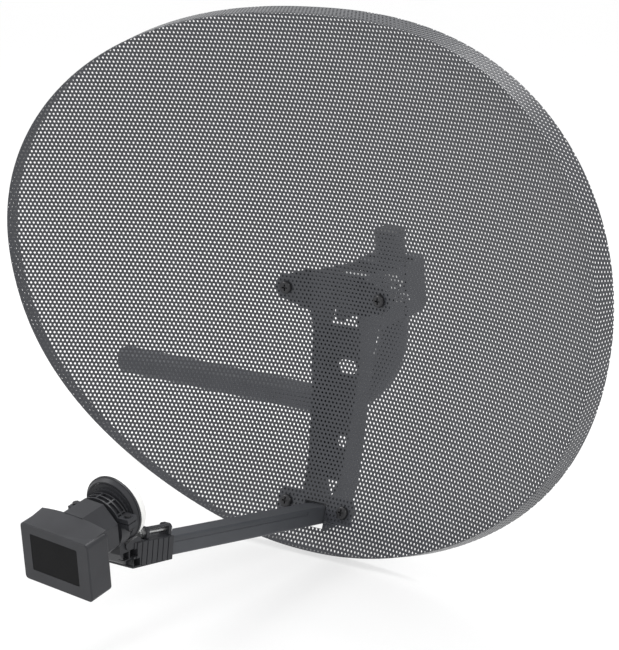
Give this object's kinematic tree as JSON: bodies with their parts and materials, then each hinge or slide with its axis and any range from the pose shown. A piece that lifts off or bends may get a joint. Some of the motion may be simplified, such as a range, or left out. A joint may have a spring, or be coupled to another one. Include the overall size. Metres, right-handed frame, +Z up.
{
  "type": "satellite dish",
  "caption": "Wide offset satellite dish of perforated sheet on a bent mast tube, with a clamp and elevation bracket, and an LNB on an arm.",
  "frame": {"origin": "centre of the mast tube's open end", "axes": "+X along the dish's width, the tube's straight stretch running within 2.5 degrees of it, +Z up, the dish faces -Y"},
  "size_m": [0.7101, 0.5343, 0.5174],
  "materials": {
    "powder_coat": "fine matt powder coat",
    "dark_screw": "black coated steel, semi-gloss",
    "zinc": "zinc plated, dull",
    "grey_plastic": "fine moulded texture",
    "end_cap": "soft matt",
    "cap_plastic": "smooth",
    "label_film": "satin film, no lettering",
    "die_cast": "as cast",
    "shield_tin": "tinned sheet",
    "board": "solder mask",
    "nickel": "nickel plated",
    "probe_brass": "turned",
    "insulator": "smooth",
    "seal_rubber": "moulded"
  },
  "bodies": {
    "mast": {"mast_tube": "powder_coat", "mast_cap": "end_cap"},
    "clamp": {"clamp_bracket": "powder_coat", "clamp_jaw": "powder_coat", "clamp_bolts": "zinc", "clamp_washers": "zinc", "clamp_nuts": "zinc", "pivot_bolt": "zinc", "pivot_washers": "zinc", "pivot_nut": "zinc", "elevation_bolt": "zinc", "elevation_washers": "zinc", "elevation_nut": "zinc"},
    "dish": {"reflector": "powder_coat", "back_bracket": "powder_coat", "reflector_screws": "dark_screw", "reflector_washers": "zinc", "reflector_nuts": "zinc", "lnb_arm": "powder_coat", "arm_bolts": "zinc", "arm_nuts": "zinc", "holder_base": "grey_plastic", "holder_strap": "grey_plastic", "strap_screws": "dark_screw", "strap_nuts": "dark_screw", "arm_lock_screw": "zinc", "arm_lock_nut": "zinc"},
    "lnb": {"lnb_housing": "grey_plastic", "lnb_back_cover": "grey_plastic", "lnb_label": "label_film", "lnb_chassis": "die_cast", "circuit_board": "board", "board_shield": "shield_tin", "shield_screws": "zinc", "waveguide_probes": "probe_brass", "feed_horn": "die_cast", "feed_collar": "grey_plastic", "feed_cap": "cap_plastic", "cap_seal": "seal_rubber", "connectors": "nickel", "connector_cores": "insulator"}
  },
  "joints": [
    {"name": "mast_azimuth", "type": "hinge", "parent": "mast", "child": "clamp", "pos_m": [0.37465, -0.03015, 0.13899], "axis": [0, -0.099, 0.9951], "range_deg": [-20, 90]},
    {"name": "dish_elevation", "type": "hinge", "parent": "clamp", "child": "dish", "pos_m": [0.37465, -0.08015, 0.15009], "axis": [1, 0, 0], "range_deg": [-20, 12]},
    {"name": "lnb_skew", "type": "hinge", "parent": "dish", "child": "lnb", "pos_m": [0.37406, -0.44161, 0.00953], "axis": [0, 0.9816, 0.1908], "range_deg": [-20, 20]}
  ]
}
